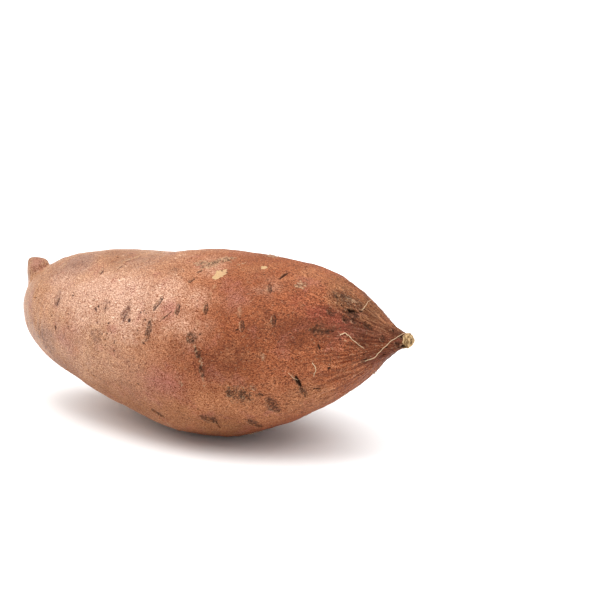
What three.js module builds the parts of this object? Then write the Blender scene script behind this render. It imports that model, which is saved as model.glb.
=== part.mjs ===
// A sweet potato: one storage root, as dug, lying on a small flat spot of its belly.
// Millimetres, +Z up. +X runs from the vine end, which keeps a short nub, to the thin root tip.
// The origin is the bottom centre of the root's box, on the surface that it lies on.
import * as THREE from "three";
import { mergeVertices } from "three/addons/utils/BufferGeometryUtils.js";

// Driving dimensions
const WIDER_THAN_TALL = 1.09; // the section's width over its height
const RING_SPACING = 2.8; // the most from one ring of vertices to the next, along the skin
const SIDES = 64; // vertices in one ring
const WELD = 1e-4; // vertices nearer than this are one vertex

// The root's sections, one row for each station from the nub to the root tip. X and Z place the
// section's centre, with Z = 0 at the surface below, which flattens the belly's lowest 0.8 mm.
// Lean is in degrees: at 0 the section is upright, and a positive lean tips its top towards +X.
const STATIONS = [
  { x: -82.4, y: 0.8, z: 57.8, halfHeight: 0, lean: 62 }, // middle of the nub's rounded end
  { x: -82.1, y: 0.8, z: 57.3, halfHeight: 2.6, lean: 62 },
  { x: -81.4, y: 0.8, z: 55.4, halfHeight: 4.5, lean: 58 },
  { x: -80.5, y: 0.6, z: 52.2, halfHeight: 5.5, lean: 46 }, // waist of the nub
  { x: -79.2, y: 0.3, z: 47.4, halfHeight: 10.8, lean: 28 }, // where the nub leaves the shoulder
  { x: -74.8, y: 0, z: 43.3, halfHeight: 16.2, lean: 16 },
  { x: -66.4, y: 0, z: 40.1, halfHeight: 21.2, lean: 6 },
  { x: -53.4, y: 0, z: 38.4, halfHeight: 25.8, lean: 0 },
  { x: -38.4, y: 0, z: 36.8, halfHeight: 29.8, lean: 0 },
  { x: -22.4, y: 0, z: 35.7, halfHeight: 33.1, lean: 0 },
  { x: -4.4, y: 0, z: 35.1, halfHeight: 36.0, lean: 0 }, // belly
  { x: 12.6, y: 0, z: 35.9, halfHeight: 35.6, lean: 0 },
  { x: 28.6, y: 0, z: 38.9, halfHeight: 32.6, lean: 0 },
  { x: 43.6, y: 0, z: 41.8, halfHeight: 28.2, lean: 0 },
  { x: 56.6, y: 0, z: 43.9, halfHeight: 22.0, lean: 0 },
  { x: 66.6, y: 0, z: 45.2, halfHeight: 14.8, lean: 0 },
  { x: 74.6, y: 0, z: 46.8, halfHeight: 7.8, lean: 0 },
  { x: 79.6, y: 0, z: 47.5, halfHeight: 4.3, lean: 0 },
  { x: 82.5, y: 0, z: 48.0, halfHeight: 3.2, lean: 0 }, // neck of the root tip
  { x: 84.1, y: 0, z: 48.2, halfHeight: 2.7, lean: 0 }, // rim of the tip's broken end
  { x: 84.4, y: 0, z: 48.2, halfHeight: 1.8, lean: 0 },
  { x: 83.9, y: 0, z: 48.2, halfHeight: 0, lean: 0 }, // the broken end is a little hollow
];

// Wide swells of the skin: waves along X, in mm, and around the root, in whole waves to a turn.
const SWELLS = [
  { height: 0.3, wavelength: 96, wavesAround: 2, shift: 0.4 },
  { height: 0.25, wavelength: 61, wavesAround: 3, shift: 2.0 },
  { height: 0.15, wavelength: 37, wavesAround: 5, shift: 3.6 },
];

// Furrows that run lengthwise and draw together towards the root tip.
const FURROW_DEPTH = 0.3;
const FURROWS_AROUND = 9;
const FURROWS_START_X = 37;
const FURROWS_DEEPEST_X = 67;

// Turn is in degrees around the root: 0 on top, 90 on the -Y side, 180 under the belly and
// -90 on the +Y side. Length is along X and breadth is around the root.
const WIDE_HOLLOWS = [
  { x: -21, turn: -8, length: 17, breadth: 26, depth: 0.4 }, // the saddle behind the crown
  { x: 60, turn: 38, length: 8, breadth: 9, depth: 0.4 }, // the sunken patch near the root tip
  { x: -33, turn: 79, length: 6, breadth: 6, depth: 0.3 }, // the dull patch on the -Y side
];

// Eyes: small hollows where side roots grew. These lie on the -Y side and on top.
const EYES = [
  { x: -55, turn: 63, depth: 0.4 },
  { x: -21, turn: 60, depth: 0.6 },
  { x: -7, turn: 52, depth: 0.4 },
  { x: -8, turn: 69, depth: 0.6 },
  { x: 2, turn: 54, depth: 0.4 },
  { x: 13, turn: 50, depth: 0.4 },
  { x: 15, turn: 79, depth: 0.3 },
  { x: 30, turn: 60, depth: 0.5 },
  { x: 34, turn: 31, depth: 0.3 },
  { x: 35, turn: 15, depth: 0.4 },
  { x: 41, turn: 56, depth: 0.5 },
  { x: 58, turn: 60, depth: 0.5 },
  { x: 51, turn: 110, depth: 0.9 },
  { x: 31, turn: 107, depth: 0.6 },
  { x: 41, turn: 123, depth: 0.6 },
  { x: 30, turn: 138, depth: 0.5 },
  { x: 16, turn: 124, depth: 0.6 },
  { x: -7, turn: 123, depth: 0.6 },
];
const EYE_LENGTH = 5.4;
const EYE_BREADTH = 6.4;

// The rest of the root has its eyes in rows that run lengthwise, each row starting after the last.
const EYE_ROW_TURNS = [172, -142, -106, -70, -34];
const EYES_IN_A_ROW = 5;
const FIRST_EYE_X = -56;
const EYE_PITCH = 25;
const EYE_ROW_STAGGER = 9;
const ROW_EYE_DEPTH = 0.45;

const COLUMNS = ["x", "y", "z", "halfHeight", "lean"];

function smoothStep(low, high, value) {
  return THREE.MathUtils.smoothstep(value, low, high);
}

// How far apart two stations are, along the skin.
function gap(from, to) {
  return Math.hypot(to.x - from.x, to.z - from.z, to.halfHeight - from.halfHeight);
}

// How fast a column changes at a station: the slopes on its two sides, the nearer side weighing more.
function slopeAt(i, column) {
  const slopes = [];
  for (const [from, to] of [[STATIONS[i - 1], STATIONS[i]], [STATIONS[i], STATIONS[i + 1]]]) {
    if (from && to) {
      slopes.push({ slope: (to[column] - from[column]) / gap(from, to), weight: 1 / gap(from, to) });
    }
  }
  const totalWeight = slopes.reduce((sum, s) => sum + s.weight, 0);
  return slopes.reduce((sum, s) => sum + s.slope * s.weight, 0) / totalWeight;
}

// The section at a part of the way from station i to the next, on a smooth curve through them all.
function sectionBetween(i, part) {
  const length = gap(STATIONS[i], STATIONS[i + 1]);
  const section = {};
  for (const column of COLUMNS) {
    const start = STATIONS[i][column];
    const end = STATIONS[i + 1][column];
    const startSlope = slopeAt(i, column) * length;
    const endSlope = slopeAt(i + 1, column) * length;
    const ease = part * part * (3 - 2 * part);
    const early = part * (1 - part) * (1 - part);
    const late = part * part * (part - 1);
    section[column] = start + (end - start) * ease + startSlope * early + endSlope * late;
  }
  return section;
}

// The root's sections in order, close enough together for a ring of vertices at each.
function rings() {
  const list = [STATIONS[0]];
  for (let i = 0; i < STATIONS.length - 1; i++) {
    const steps = Math.ceil(gap(STATIONS[i], STATIONS[i + 1]) / RING_SPACING);
    for (let step = 1; step <= steps; step++) {
      list.push(sectionBetween(i, step / steps));
    }
  }
  return list;
}

// A surface of revolution whose height is the ring's number, closed on the axis at both ends.
function turnedBody(sections) {
  const profile = sections.map((section, ring) => {
    const atEnd = ring === 0 || ring === sections.length - 1;
    return new THREE.Vector2(atEnd ? 0 : section.halfHeight, ring);
  });
  return new THREE.LatheGeometry(profile, SIDES);
}

// How deep one hollow is at a place on the skin.
function hollowDepth(hollow, x, turn, radius) {
  const turnGap = THREE.MathUtils.euclideanModulo(turn - hollow.turn + 180, 360) - 180;
  const around = (THREE.MathUtils.degToRad(turnGap) * radius) / hollow.breadth;
  const along = (x - hollow.x) / hollow.length;
  return hollow.depth * Math.exp(-2 * (around * around + along * along));
}

function eyes() {
  const list = [...EYES];
  EYE_ROW_TURNS.forEach((turn, row) => {
    for (let i = 0; i < EYES_IN_A_ROW; i++) {
      const x = FIRST_EYE_X + i * EYE_PITCH + ((row * EYE_ROW_STAGGER) % EYE_PITCH);
      list.push({ x, turn, depth: ROW_EYE_DEPTH });
    }
  });
  return list.map((eye) => ({ ...eye, length: EYE_LENGTH, breadth: EYE_BREADTH }));
}

const hollows = [...WIDE_HOLLOWS, ...eyes()];

// How far the skin stands out from the plain section, in mm.
function relief(x, turn, radius) {
  const angle = THREE.MathUtils.degToRad(turn);
  const onBody = smoothStep(4, 20, radius);
  let height = 0;
  for (const swell of SWELLS) {
    const phase = (2 * Math.PI * x) / swell.wavelength + swell.wavesAround * angle + swell.shift;
    height += swell.height * Math.sin(phase) * onBody;
  }
  const drawnIn = smoothStep(FURROWS_START_X, FURROWS_DEEPEST_X, x) * smoothStep(2, 9, radius);
  height -= FURROW_DEPTH * drawnIn * (0.5 + 0.5 * Math.cos(FURROWS_AROUND * angle));
  for (const hollow of hollows) {
    height -= hollowDepth(hollow, x, turn, radius) * onBody;
  }
  return height;
}

// Moves each vertex from the straight turned body to its place on the root.
function bendToStations(geometry, sections) {
  const side = new THREE.Vector3(0, -1, 0);
  const over = new THREE.Vector3();
  const place = new THREE.Vector3();
  const position = geometry.getAttribute("position");
  for (let i = 0; i < position.count; i++) {
    const section = sections[Math.round(position.getY(i))];
    const radius = Math.hypot(position.getX(i), position.getZ(i));
    const turn = THREE.MathUtils.radToDeg(Math.atan2(position.getX(i), position.getZ(i)));
    const grown = radius > 0 ? 1 + relief(section.x, turn, radius) / radius : 1;
    const lean = THREE.MathUtils.degToRad(section.lean);
    over.set(Math.sin(lean), 0, Math.cos(lean));
    place
      .set(section.x, section.y, section.z)
      .addScaledVector(side, position.getX(i) * WIDER_THAN_TALL * grown)
      .addScaledVector(over, position.getZ(i) * grown);
    position.setXYZ(i, place.x, place.y, place.z);
  }
}

// Presses the lowest skin flat on the surface below, so that the root lies still.
function flattenBelly(geometry) {
  const position = geometry.getAttribute("position");
  for (let i = 0; i < position.count; i++) {
    position.setZ(i, Math.max(position.getZ(i), 0));
  }
}

function moveOriginToBottomCentre(geometry) {
  geometry.computeBoundingBox();
  const { min, max } = geometry.boundingBox;
  geometry.translate(-(min.x + max.x) / 2, -(min.y + max.y) / 2, -min.z);
}

function buildRoot() {
  const sections = rings();
  const turned = turnedBody(sections);
  turned.deleteAttribute("normal");
  turned.deleteAttribute("uv");
  bendToStations(turned, sections);
  const geometry = mergeVertices(turned, WELD);
  flattenBelly(geometry);
  moveOriginToBottomCentre(geometry);
  geometry.computeVertexNormals();
  return geometry;
}

const skin = new THREE.MeshStandardMaterial({
  color: 0xb8744f,
  roughness: 0.55,
  metalness: 0,
});

const root = new THREE.Mesh(buildRoot(), skin);
root.name = "storage_root";

const sweetPotato = new THREE.Group();
sweetPotato.add(root);

export default sweetPotato;
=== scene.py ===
"""A sweet potato's looks: one storage root with its eyes, scars, pores, rootlets and dry root tip.

Places on the skin are given as x and turn. X is in millimetres along the root, from the vine end
to the root tip. Turn is in degrees around it: 0 on top, 90 on the -Y side, 180 under the belly
and -90 on the +Y side.
"""

import math
import random
from typing import NamedTuple

import bmesh
import bpy
import numpy as np
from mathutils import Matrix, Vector
from mathutils.bvhtree import BVHTree


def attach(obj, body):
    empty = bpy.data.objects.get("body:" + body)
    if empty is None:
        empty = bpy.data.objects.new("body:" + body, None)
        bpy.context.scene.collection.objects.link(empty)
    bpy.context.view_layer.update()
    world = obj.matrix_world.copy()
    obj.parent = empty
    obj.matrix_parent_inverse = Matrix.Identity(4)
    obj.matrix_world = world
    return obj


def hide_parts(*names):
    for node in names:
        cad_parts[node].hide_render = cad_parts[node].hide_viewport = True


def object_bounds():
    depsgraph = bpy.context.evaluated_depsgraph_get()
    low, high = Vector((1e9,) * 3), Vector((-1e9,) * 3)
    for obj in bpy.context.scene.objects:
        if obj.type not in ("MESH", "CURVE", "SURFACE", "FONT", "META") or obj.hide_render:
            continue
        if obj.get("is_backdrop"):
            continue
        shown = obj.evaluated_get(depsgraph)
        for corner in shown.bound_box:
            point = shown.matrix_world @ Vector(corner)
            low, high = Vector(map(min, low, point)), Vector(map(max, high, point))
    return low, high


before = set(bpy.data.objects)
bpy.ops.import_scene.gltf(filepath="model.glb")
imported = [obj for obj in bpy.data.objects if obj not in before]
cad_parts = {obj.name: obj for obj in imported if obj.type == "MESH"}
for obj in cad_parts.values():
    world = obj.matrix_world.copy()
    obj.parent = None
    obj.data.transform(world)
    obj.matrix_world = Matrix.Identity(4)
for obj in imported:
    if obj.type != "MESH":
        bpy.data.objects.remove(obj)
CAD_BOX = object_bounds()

bl_info = {
    "name": "Sweet Potato",
    "version": (1, 0, 0),
    "blender": (4, 5, 0),
    "location": "View3D > Sidebar > Sweet Potato",
    "description": "Dresses a plain storage root with skin, eyes, scars, rootlets and a dry tip",
    "category": "Object",
}

MM = 0.001  # the scene is in metres and the values below are in millimetres
GIRTH_RADIUS = 20.0  # where the root is this thick, its grain has its plain size
GRAIN_POWER = 0.7  # and elsewhere its width goes with this power of the root's thickness
NODE = "storage_root"
BODY = "root"


def srgb(red, green, blue):
    """A colour given as 0 to 255 on a screen, as the linear values that Blender keeps."""
    shares = (red / 255, green / 255, blue / 255)
    return tuple(s / 12.92 if s <= 0.04045 else ((s + 0.055) / 1.055) ** 2.4 for s in shares)


def colour_property(name, description, screen_colour):
    """A colour that a user would change."""
    return bpy.props.FloatVectorProperty(
        name=name,
        description=description,
        subtype="COLOR",
        size=3,
        min=0,
        max=1,
        default=srgb(*screen_colour),
    )


def length_property(name, description, millimetres):
    """A length that a user would change, kept in metres."""
    return bpy.props.FloatProperty(
        name=name,
        description=description,
        subtype="DISTANCE",
        unit="LENGTH",
        precision=5,
        default=millimetres * MM,
    )


# Settings


class SkinSettings(bpy.types.PropertyGroup):
    """The skin's relief and colours."""

    unevenness: length_property("Unevenness", "Height of the skin's soft unevenness", 0.14)
    wrinkle_height: length_property("Wrinkle Height", "Height of the wrinkles near the root tip", 0.2)
    grain_height: length_property("Grain Height", "Height of the skin's fine grain", 0.1)
    pore_depth: length_property("Pore Depth", "Depth of the pores", 0.12)
    vine_end: colour_property("Vine End", "Skin at the vine end", (161, 112, 79))
    shoulder: colour_property("Shoulder", "Skin between the vine end and the belly", (140, 82, 52))
    belly: colour_property("Belly", "Skin in the middle", (124, 64, 34))
    tip_side: colour_property("Tip Side", "Skin in the third nearest the root tip", (143, 78, 46))
    # The neck's colour is darker partly as painted shade.
    neck: colour_property("Neck", "Skin at the neck of the root tip", (92, 46, 30))
    # Painted highlight: the palest patches, laid where the key light's sheen falls on the -Y side of the
    # vine half.
    glow: colour_property("Glow", "The palest patches of skin", (175, 129, 103))
    pink: colour_property("Pink", "Pink patches", (142, 82, 66))
    red: colour_property("Red", "Red patches near the root tip", (120, 52, 36))
    olive: colour_property("Olive", "Soil-coloured patches", (116, 71, 42))
    # Painted shade: dark patches near the root tip.
    dusk: colour_property("Dusk", "Dark patches near the root tip", (98, 56, 38))
    tan: colour_property("Tan", "Tan patches", (152, 94, 60))
    # Painted shade: darker patches, most of them on the low sides, and some along the top.
    shade: colour_property("Shade", "Brown patches on the low sides", (130, 80, 48))
    umber: colour_property("Umber", "Deep brown patches in the middle", (110, 54, 28))
    stump: colour_property("Stump", "Dry skin of the knob at the vine end", (148, 104, 76))
    bloom: colour_property("Bloom", "Dull bloom on the skin that lay uppermost", (138, 97, 76))
    # Cork colour of crusts, flecks and bumps, also laid on the marks' rims, strongest on the vine side that
    # faces the key light: there it is partly painted highlight.
    cork_and_rim_highlight: colour_property("Cork", "Corky rims and bumps", (180, 140, 108))
    flesh: colour_property("Flesh", "Bare places where the skin flaked off", (186, 152, 110))
    dirt: colour_property("Dirt", "Scars, pits and pores", (54, 32, 20))
    garnet: colour_property("Garnet", "Pits and pores of the vine end", (104, 38, 28))
    stain: colour_property("Stain", "Dull stains", (98, 60, 40))
    line: colour_property("Line", "Fine broken lines along the root", (80, 38, 20))
    scuff: colour_property("Scuff", "Pale streaks along the top of the vine end", (208, 166, 136))
    straw: colour_property("Straw", "Bed of the broken root tip", (150, 118, 80))


class RootletSettings(bpy.types.PropertyGroup):
    """The rootlets and the fibres of the broken root tip."""

    thickness: length_property("Thickness", "Thickness of a rootlet at its root", 0.36)
    kink: length_property("Kink", "How far a rootlet's kinks stand off its line", 0.34)
    fibre_thickness: length_property("Fibre Thickness", "Thickness of one tip fibre", 0.46)
    colour: colour_property("Colour", "Dry rootlets", (206, 176, 140))
    fibre_colour: colour_property("Fibre Colour", "Fibres of the tip", (184, 152, 108))


class StageSettings(bpy.types.PropertyGroup):
    """The floor, the lights and the camera."""

    floor_colour: colour_property("Floor", "The pale floor", (250, 250, 250))
    camera_distance: length_property("Camera Distance", "From the camera to the belly's middle", 900)


# Places on the skin


def node_points():
    """The CAD root's vertices in millimetres."""
    return np.array([v.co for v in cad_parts[NODE].data.vertices]) / MM


def root_profile(step=2.0, reach=3.0):
    """At even steps of x: the height of the middle line, and the length along the skin so far."""
    points = node_points()
    xs = np.arange(points[:, 0].min(), points[:, 0].max() + step, step)
    middles, halves = [], []
    for x in xs:
        near = points[np.abs(points[:, 0] - x) < reach, 2]
        middles.append((near.min() + near.max()) / 2)
        halves.append((near.max() - near.min()) / 2)
    lengths = np.concatenate([[0], np.cumsum(np.hypot(step, np.diff(halves)))])
    return xs, np.array(middles), lengths


PROFILE_X, MIDDLE_Z, SKIN_LENGTH = root_profile()


def middle_height(x):
    """The height of the root's middle line at x."""
    return np.interp(x, PROFILE_X, MIDDLE_Z)


class Places:
    """Where many points lie on the root: x, turn and distance from the middle line.

    The grain of the skin runs along the root and draws together towards its ends. Each point's
    place in that grain is its length along the skin, and a direction around the root that
    shrinks less than the root does.
    """

    def __init__(self, points):
        self.points = points
        self.x = points[:, 0]
        rise = points[:, 2] - middle_height(self.x)
        self.turn = np.degrees(np.arctan2(-points[:, 1], rise))
        self.radius = np.hypot(points[:, 1], rise)

    def in_grain(self):
        """The points' places in the skin's grain, in millimetres."""
        spread = GIRTH_RADIUS * (self.radius / GIRTH_RADIUS) ** GRAIN_POWER
        angle = np.radians(self.turn)
        length = np.interp(self.x, PROFILE_X, SKIN_LENGTH)
        return np.stack([length, -np.sin(angle) * spread, np.cos(angle) * spread], axis=1)


def outwards(turn):
    """The unit vector that points off the middle line at a turn."""
    angle = math.radians(turn)
    return Vector((0, -math.sin(angle), math.cos(angle)))


def turn_gap(turn, other):
    """How many degrees turn is past other, the short way round."""
    return (turn - other + 180) % 360 - 180


def smooth_step(low, high, value):
    """0 below low, 1 above high and a soft rise between."""
    part = np.clip((value - low) / (high - low), 0, 1)
    return part * part * (3 - 2 * part)


WAVES = 14  # how many plane waves make one field
WAVE_PEAK = 1.6  # and about how high their sum rises


def waves(points, wavelength, seed, stretch=(1.0, 1.0, 1.0)):
    """A smooth random field from about -1 to 1: plane waves of about one wavelength, in mm."""
    draw = random.Random(seed)
    total = np.zeros(len(points))
    for _ in range(WAVES):
        across = Vector((draw.gauss(0, 1), draw.gauss(0, 1), draw.gauss(0, 1))).normalized()
        size = wavelength * draw.uniform(0.7, 1.4)
        direction = np.array(across) / np.array(stretch) / size
        total += np.sin(2 * math.pi * (points @ direction) + draw.uniform(0, 2 * math.pi))
    return total * math.sqrt(2 / WAVES) / WAVE_PEAK


# Marks on the skin


class Kind(NamedTuple):
    """What one kind of mark does to the skin. Lengths are in millimetres and tints from 0 to 1."""

    depth: float = 0.0  # how deep it cuts, or how high it stands if below 0
    rim: float = 0.0  # height of its rim, which is raised on the vine side
    dark: float = 0.0
    # pale: cork colour, on the rim of cut marks and eyes and strongest on the vine side towards the key
    # light, so partly painted highlight
    pale: float = 0.0
    flesh: float = 0.0
    stain: float = 0.0
    hatch: float = 0.0  # how densely fine dark cracks fill it
    # A ring's dark is painted mostly on its tipward side, away from the key light: painted shade.
    ring: float = 0.0  # 1 if a dark groove runs round inside its edge
    crust: float = 0.0  # how densely pale flecks cover it


KINDS = {
    "pit": Kind(depth=0.5, rim=0.04, dark=1.0),
    "slit": Kind(depth=0.4, rim=0.2, dark=0.85, pale=0.5),
    "eye": Kind(depth=-0.14, rim=0.24, pale=0.6, ring=1.0, stain=0.25, hatch=0.6),
    "scar": Kind(depth=0.26, rim=0.2, dark=0.54, pale=0.45, stain=0.55, hatch=1.0),
    "gash": Kind(depth=1.3, rim=0.4, dark=1.0, pale=0.5, stain=0.4, hatch=0.6),
    "bump": Kind(depth=-0.5, pale=0.42),
    "flake": Kind(depth=0.12, rim=0.05, flesh=1.0),
    "smudge": Kind(stain=0.62, hatch=0.35),
    "crust": Kind(depth=-0.16, crust=0.95, hatch=0.5),
    "soil": Kind(depth=-0.1, stain=0.2, hatch=0.6, crust=0.3),
    "scratch": Kind(depth=0.26, rim=0.16, dark=0.85, pale=0.7),
    "streak": Kind(depth=-0.2, pale=0.5, crust=0.6),
}


class Mark(NamedTuple):
    """One mark: its kind, from where to where on the skin it runs, and its width in mm."""

    kind: str
    x: float
    turn: float
    to_x: float
    to_turn: float
    width: float


class Tone(NamedTuple):
    """A broad soft patch of another colour, with its middle, its reach in mm and its strength."""

    kind: str
    x: float
    turn: float
    reach: float
    strength: float


TONE_KINDS = ("bloom", "glow", "pink", "tan", "olive", "red", "dusk", "shade", "umber", "stump")
HIDDEN_TONE_KINDS = ("bloom", "pink", "tan", "shade", "olive", "red", "dusk", "tan", "pink")

# The broad patches of the -Y side and the top, by kind: middle x and turn, reach and strength.
SEEN_TONES = {
    "stump": [
        (-82, 4, 6, 1.0),
    ],
    "bloom": [
        (-62, 30, 9, 0.6), (-60, 98, 7, 0.5), (-55, 22, 9, 1.0), (-46, 14, 12, 0.3),
        (-40, 4, 13, 0.25), (-26, 12, 11, 0.45), (-13, 54, 9, 0.35), (6, 5, 8, 0.25),
        (24, 44, 9, 0.25), (29, 24, 11, 0.3),
    ],
    # painted highlight, where the key light's sheen falls
    "glow": [
        (-55, 52, 12, 0.6), (-38, 52, 14, 1.0), (-22, 50, 14, 1.0), (-7, 44, 12, 0.7),
        (-9, 57, 8, 0.6), (8, 46, 10, 0.4), (4, 67, 12, 0.5), (13, 64, 8, 0.4), (6, 18, 9, 0.4),
        (32, 30, 8, 0.3),
    ],
    "pink": [
        (-48, 92, 10, 0.4), (-2, 55, 6, 0.5), (8, 92, 9, 0.3), (1, 99, 12, 0.55), (18, 93, 8, 0.3),
        (24, 40, 8, 0.3), (27, 112, 8, 0.4),
    ],
    # painted shade, most of it on the low sides
    "shade": [
        (-70, 106, 9, 0.5), (-52, 130, 13, 0.8), (-38, 8, 12, 0.55), (-22, 4, 9, 0.35),
        (-32, 120, 12, 0.6), (-18, 120, 12, 0.6), (0, 118, 12, 0.6), (18, 136, 11, 0.9),
        (56, -8, 8, 0.6), (67, -2, 7, 0.5),
    ],
    "tan": [
        (2, 76, 8, 0.5), (18, 110, 10, 0.9), (27, 113, 11, 0.9), (5, 122, 12, 0.8),
        (24, 16, 12, 0.35), (34, 128, 13, 0.8), (40, 106, 9, 0.5), (42, 8, 12, 0.5),
        (50, 132, 12, 0.9), (57, 8, 8, 0.4),
    ],
    "umber": [
        (6, 76, 8, 0.5), (17, 80, 8, 0.7), (26, 79, 7, 0.8), (34, 66, 8, 0.5), (40, 60, 8, 0.6),
        (48, 64, 8, 1.0), (36, -2, 6, 0.35), (44, 24, 7, 0.4), (59, 63, 7, 0.6), (54, 64, 7, 0.6),
        (75, 100, 8, 0.8), (79, 92, 7, 0.7), (78, 20, 5, 0.4),
    ],
    "red": [
        (48, 40, 7, 0.5), (54, 46, 7, 0.6), (61, 56, 8, 0.7), (64, 49, 4, 0.5), (76, 84, 5, 0.6),
    ],
    "olive": [
        (60, 20, 7, 0.8), (66, 26, 6, 0.9), (69, 8, 8, 0.9), (75, 18, 5, 0.7), (79, 4, 5, 0.6),
    ],
    # painted shade near the root tip
    "dusk": [
        (61, 40, 5, 0.25), (69, 56, 7, 0.5), (74, 57, 7, 0.6), (71, 78, 5, 0.4), (80, 62, 5, 0.7),
    ],
}

# The marks of the -Y side and the top, by kind: from x and turn, to x and turn, and width.
SEEN_MARKS = {
    "smudge": [
        (-65, 94, -59, 112, 7.0), (-57, 54, -56, 69, 2.6), (-57, 24, -53, 21, 4.0),
        (-35, 77, -31, 81, 4.6), (-31, 54, -30, 61, 2.4), (-20, 53, -20, 58, 2.2),
        (-9, 28, -6, 25, 2.8), (55, 60, 62, 59, 3.6),
    ],
    "scratch": [
        (-56, 60, -56.2, 68, 0.7), (-41, 33, -41, 26, 0.8), (-34, 19, -31.6, 11, 0.7),
        (-34, 28, -33, 22, 0.8), (-4, 63, 0, 56, 0.6),
    ],
    "slit": [
        (-55, 84, -55, 88, 0.9), (-30.6, 57, -30.2, 60.5, 0.7), (-26, 130, -24, 131, 1.0),
        (2.2, 26.5, 3.8, 23.5, 0.9), (17, 127, 17, 136, 0.7), (35, 19.5, 36, 10.5, 1.3),
        (55, 118, 57, 120, 0.9), (57, 73, 58, 79, 0.7), (66, 22, 66.8, 18, 1.0),
        (78, 14, 78.4, 24, 0.9),
    ],
    "streak": [
        (-62, 30, -62, 19, 1.2), (-51, 14, -48, 8, 0.9), (-46, 10, -45, 1, 0.8),
        (-41.8, 33, -41.6, 24, 0.7), (-36, 18, -31, 5, 1.1), (-34.8, 28, -33.6, 20, 0.7),
        (-26, 18, -24, 12, 0.8), (-26, 7, -23, -4, 1.0), (-5, 126, -4, 148, 0.7),
        (16.6, 88, 17.6, 96, 0.9), (16, 14, 18, 8, 0.9), (39, 79, 39, 83.5, 1.1),
    ],
    "pit": [
        (-35, 61, -35, 62, 1.5), (-33, 69, -33, 70, 1.0), (-30, 76, -30, 76.5, 0.8),
        (-27.5, 75, -27.5, 75.5, 0.7), (-25.5, 74, -25.5, 74.5, 0.7), (-18, 64, -18, 65, 1.3),
        (-2, 32, -2, 32.5, 0.8), (14, 66, 14, 66.5, 1.0), (52, 64, 52, 65, 0.8),
        (61, 99, 61, 100, 0.8),
    ],
    "scar": [
        (-20, 57, -21, 66, 2.0), (-9, 120, -5, 126, 1.5), (-8, 62.5, -8, 75, 1.5),
        (4, 17, 7, 13, 1.0), (8.6, 12, 10.6, 7, 0.9), (10, 67.5, 12, 71, 2.6),
        (13.4, 75, 15.6, 79, 1.5), (13, 120, 17, 126.5, 2.3), (16, 84.5, 17, 90, 1.3),
        (25.4, 102, 27.4, 107, 1.6), (30.4, 104, 33, 111, 2.2), (29, 130, 31, 146, 2.0),
        (36.2, 108, 38.2, 109, 1.2), (39.6, 113, 41, 129, 2.4), (51.2, 111, 52, 123, 1.2),
        (54, 61.5, 56.4, 61, 2.4), (56, 63, 61, 61, 1.4), (57.4, 37.5, 58.6, 42.5, 1.9),
        (57.5, 22, 59, 15, 1.3), (62.5, 40, 64, 46, 1.5), (69, 36, 72, 44, 1.4),
        (62, 33, 66, 31, 2.0), (65.6, 38, 66.4, 44, 1.4), (80.5, 70, 82.5, 100, 1.6),
        (81, 20, 82.5, 45, 1.4),
    ],
    "eye": [
        (-6, 48, -8, 56.5, 1.6), (2, 51.5, 2.6, 57.5, 1.4), (1.6, 35.5, 3.6, 32, 1.0),
        (13, 48, 13.8, 54, 1.5), (29, 57.5, 30, 64, 1.4), (33, 28, 35, 35.5, 1.4),
        (40, 53, 41, 60, 1.6), (70.6, 101, 71.2, 107, 1.1), (75.6, 56, 76.4, 66, 1.3),
    ],
    "crust": [
        (-1, 17.5, 3, 14, 2.6), (3, 20, 7, 12, 3.0), (6, 12, 11, 4, 3.4), (8, 95, 8, 97, 1.3),
        (12.4, 72, 14, 76, 1.2), (15.6, 79, 16.4, 84, 0.7), (34, 101.5, 36, 104, 1.3),
        (43, 24, 45.5, 21, 2.6), (60, 14, 64, 9, 1.6),
    ],
    "flake": [
        (11.0, 28.4, 12.6, 20.4, 4.1), (26, 13, 26.4, 9.5, 1.9),
    ],
    "bump": [
        (12, 58.5, 12, 62.5, 1.7), (13, 34.5, 13, 37.5, 1.7), (13, 40, 13.2, 42.5, 1.4),
        (25, 132, 25, 132.6, 0.8), (26.2, 131, 26.2, 131.6, 0.7), (26.4, 48.5, 27.6, 55.5, 1.9),
        (49.2, 96, 49.8, 103, 0.9), (66, 19.5, 66.8, 18.5, 0.9),
    ],
    "soil": [
        (26, 102, 33, 110, 6.0), (57, 19, 65, 10, 7.0),
    ],
    "gash": [
        (50.2, 100, 51.2, 110, 1.3), (62.4, 29, 66, 25, 1.2), (82.9, 92, 83.7, 106, 1.2),
    ],
}

# Fine pores in patches on the -Y side: middle x and turn, reach in mm, how many.
PORE_PATCHES = [(-40, 50, 7, 12), (-20, 44, 8, 16), (-28, 72, 6, 8), (-48, 60, 8, 8), (-12, 58, 7, 8)]

# The rest of the root has its eyes in rows, at the places of the CAD root's hollows.
ROW_KINDS = ["eye", "eye", "scar", "scar", "gash"]
EYE_ROW_TURNS = [172, -142, -106, -70, -34]
EYES_IN_A_ROW = 5
FIRST_EYE_X = -56
EYE_PITCH = 25
EYE_ROW_STAGGER = 9

# Broad patches and small marks are strewn over the rest of the root, and pores all round it.
TONE_SEED = 5
MARK_SEED = 11
HIDDEN_TONES = 20
HIDDEN_TONE_TURNS = (155, 340)
HIDDEN_MARKS = 70
HIDDEN_MARK_TURNS = (150, 345)
HIDDEN_MARK_X = (-68, 72)
HIDDEN_KINDS = "scratch scratch smudge smudge bump bump crust streak streak slit slit pit pit flake".split()
HIDDEN_WIDTHS = {"smudge": 4.0, "crust": 2.6, "bump": 1.5, "flake": 1.8}
THIN_MARK = 0.8  # width of the other kinds
ALL_ROUND_PORES = 230
PORE_X = (-74, 78)


def as_list(make, table):
    """The rows of a table that is laid out by kind."""
    return [make(kind, *values) for kind, rows in table.items() for values in rows]


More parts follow.
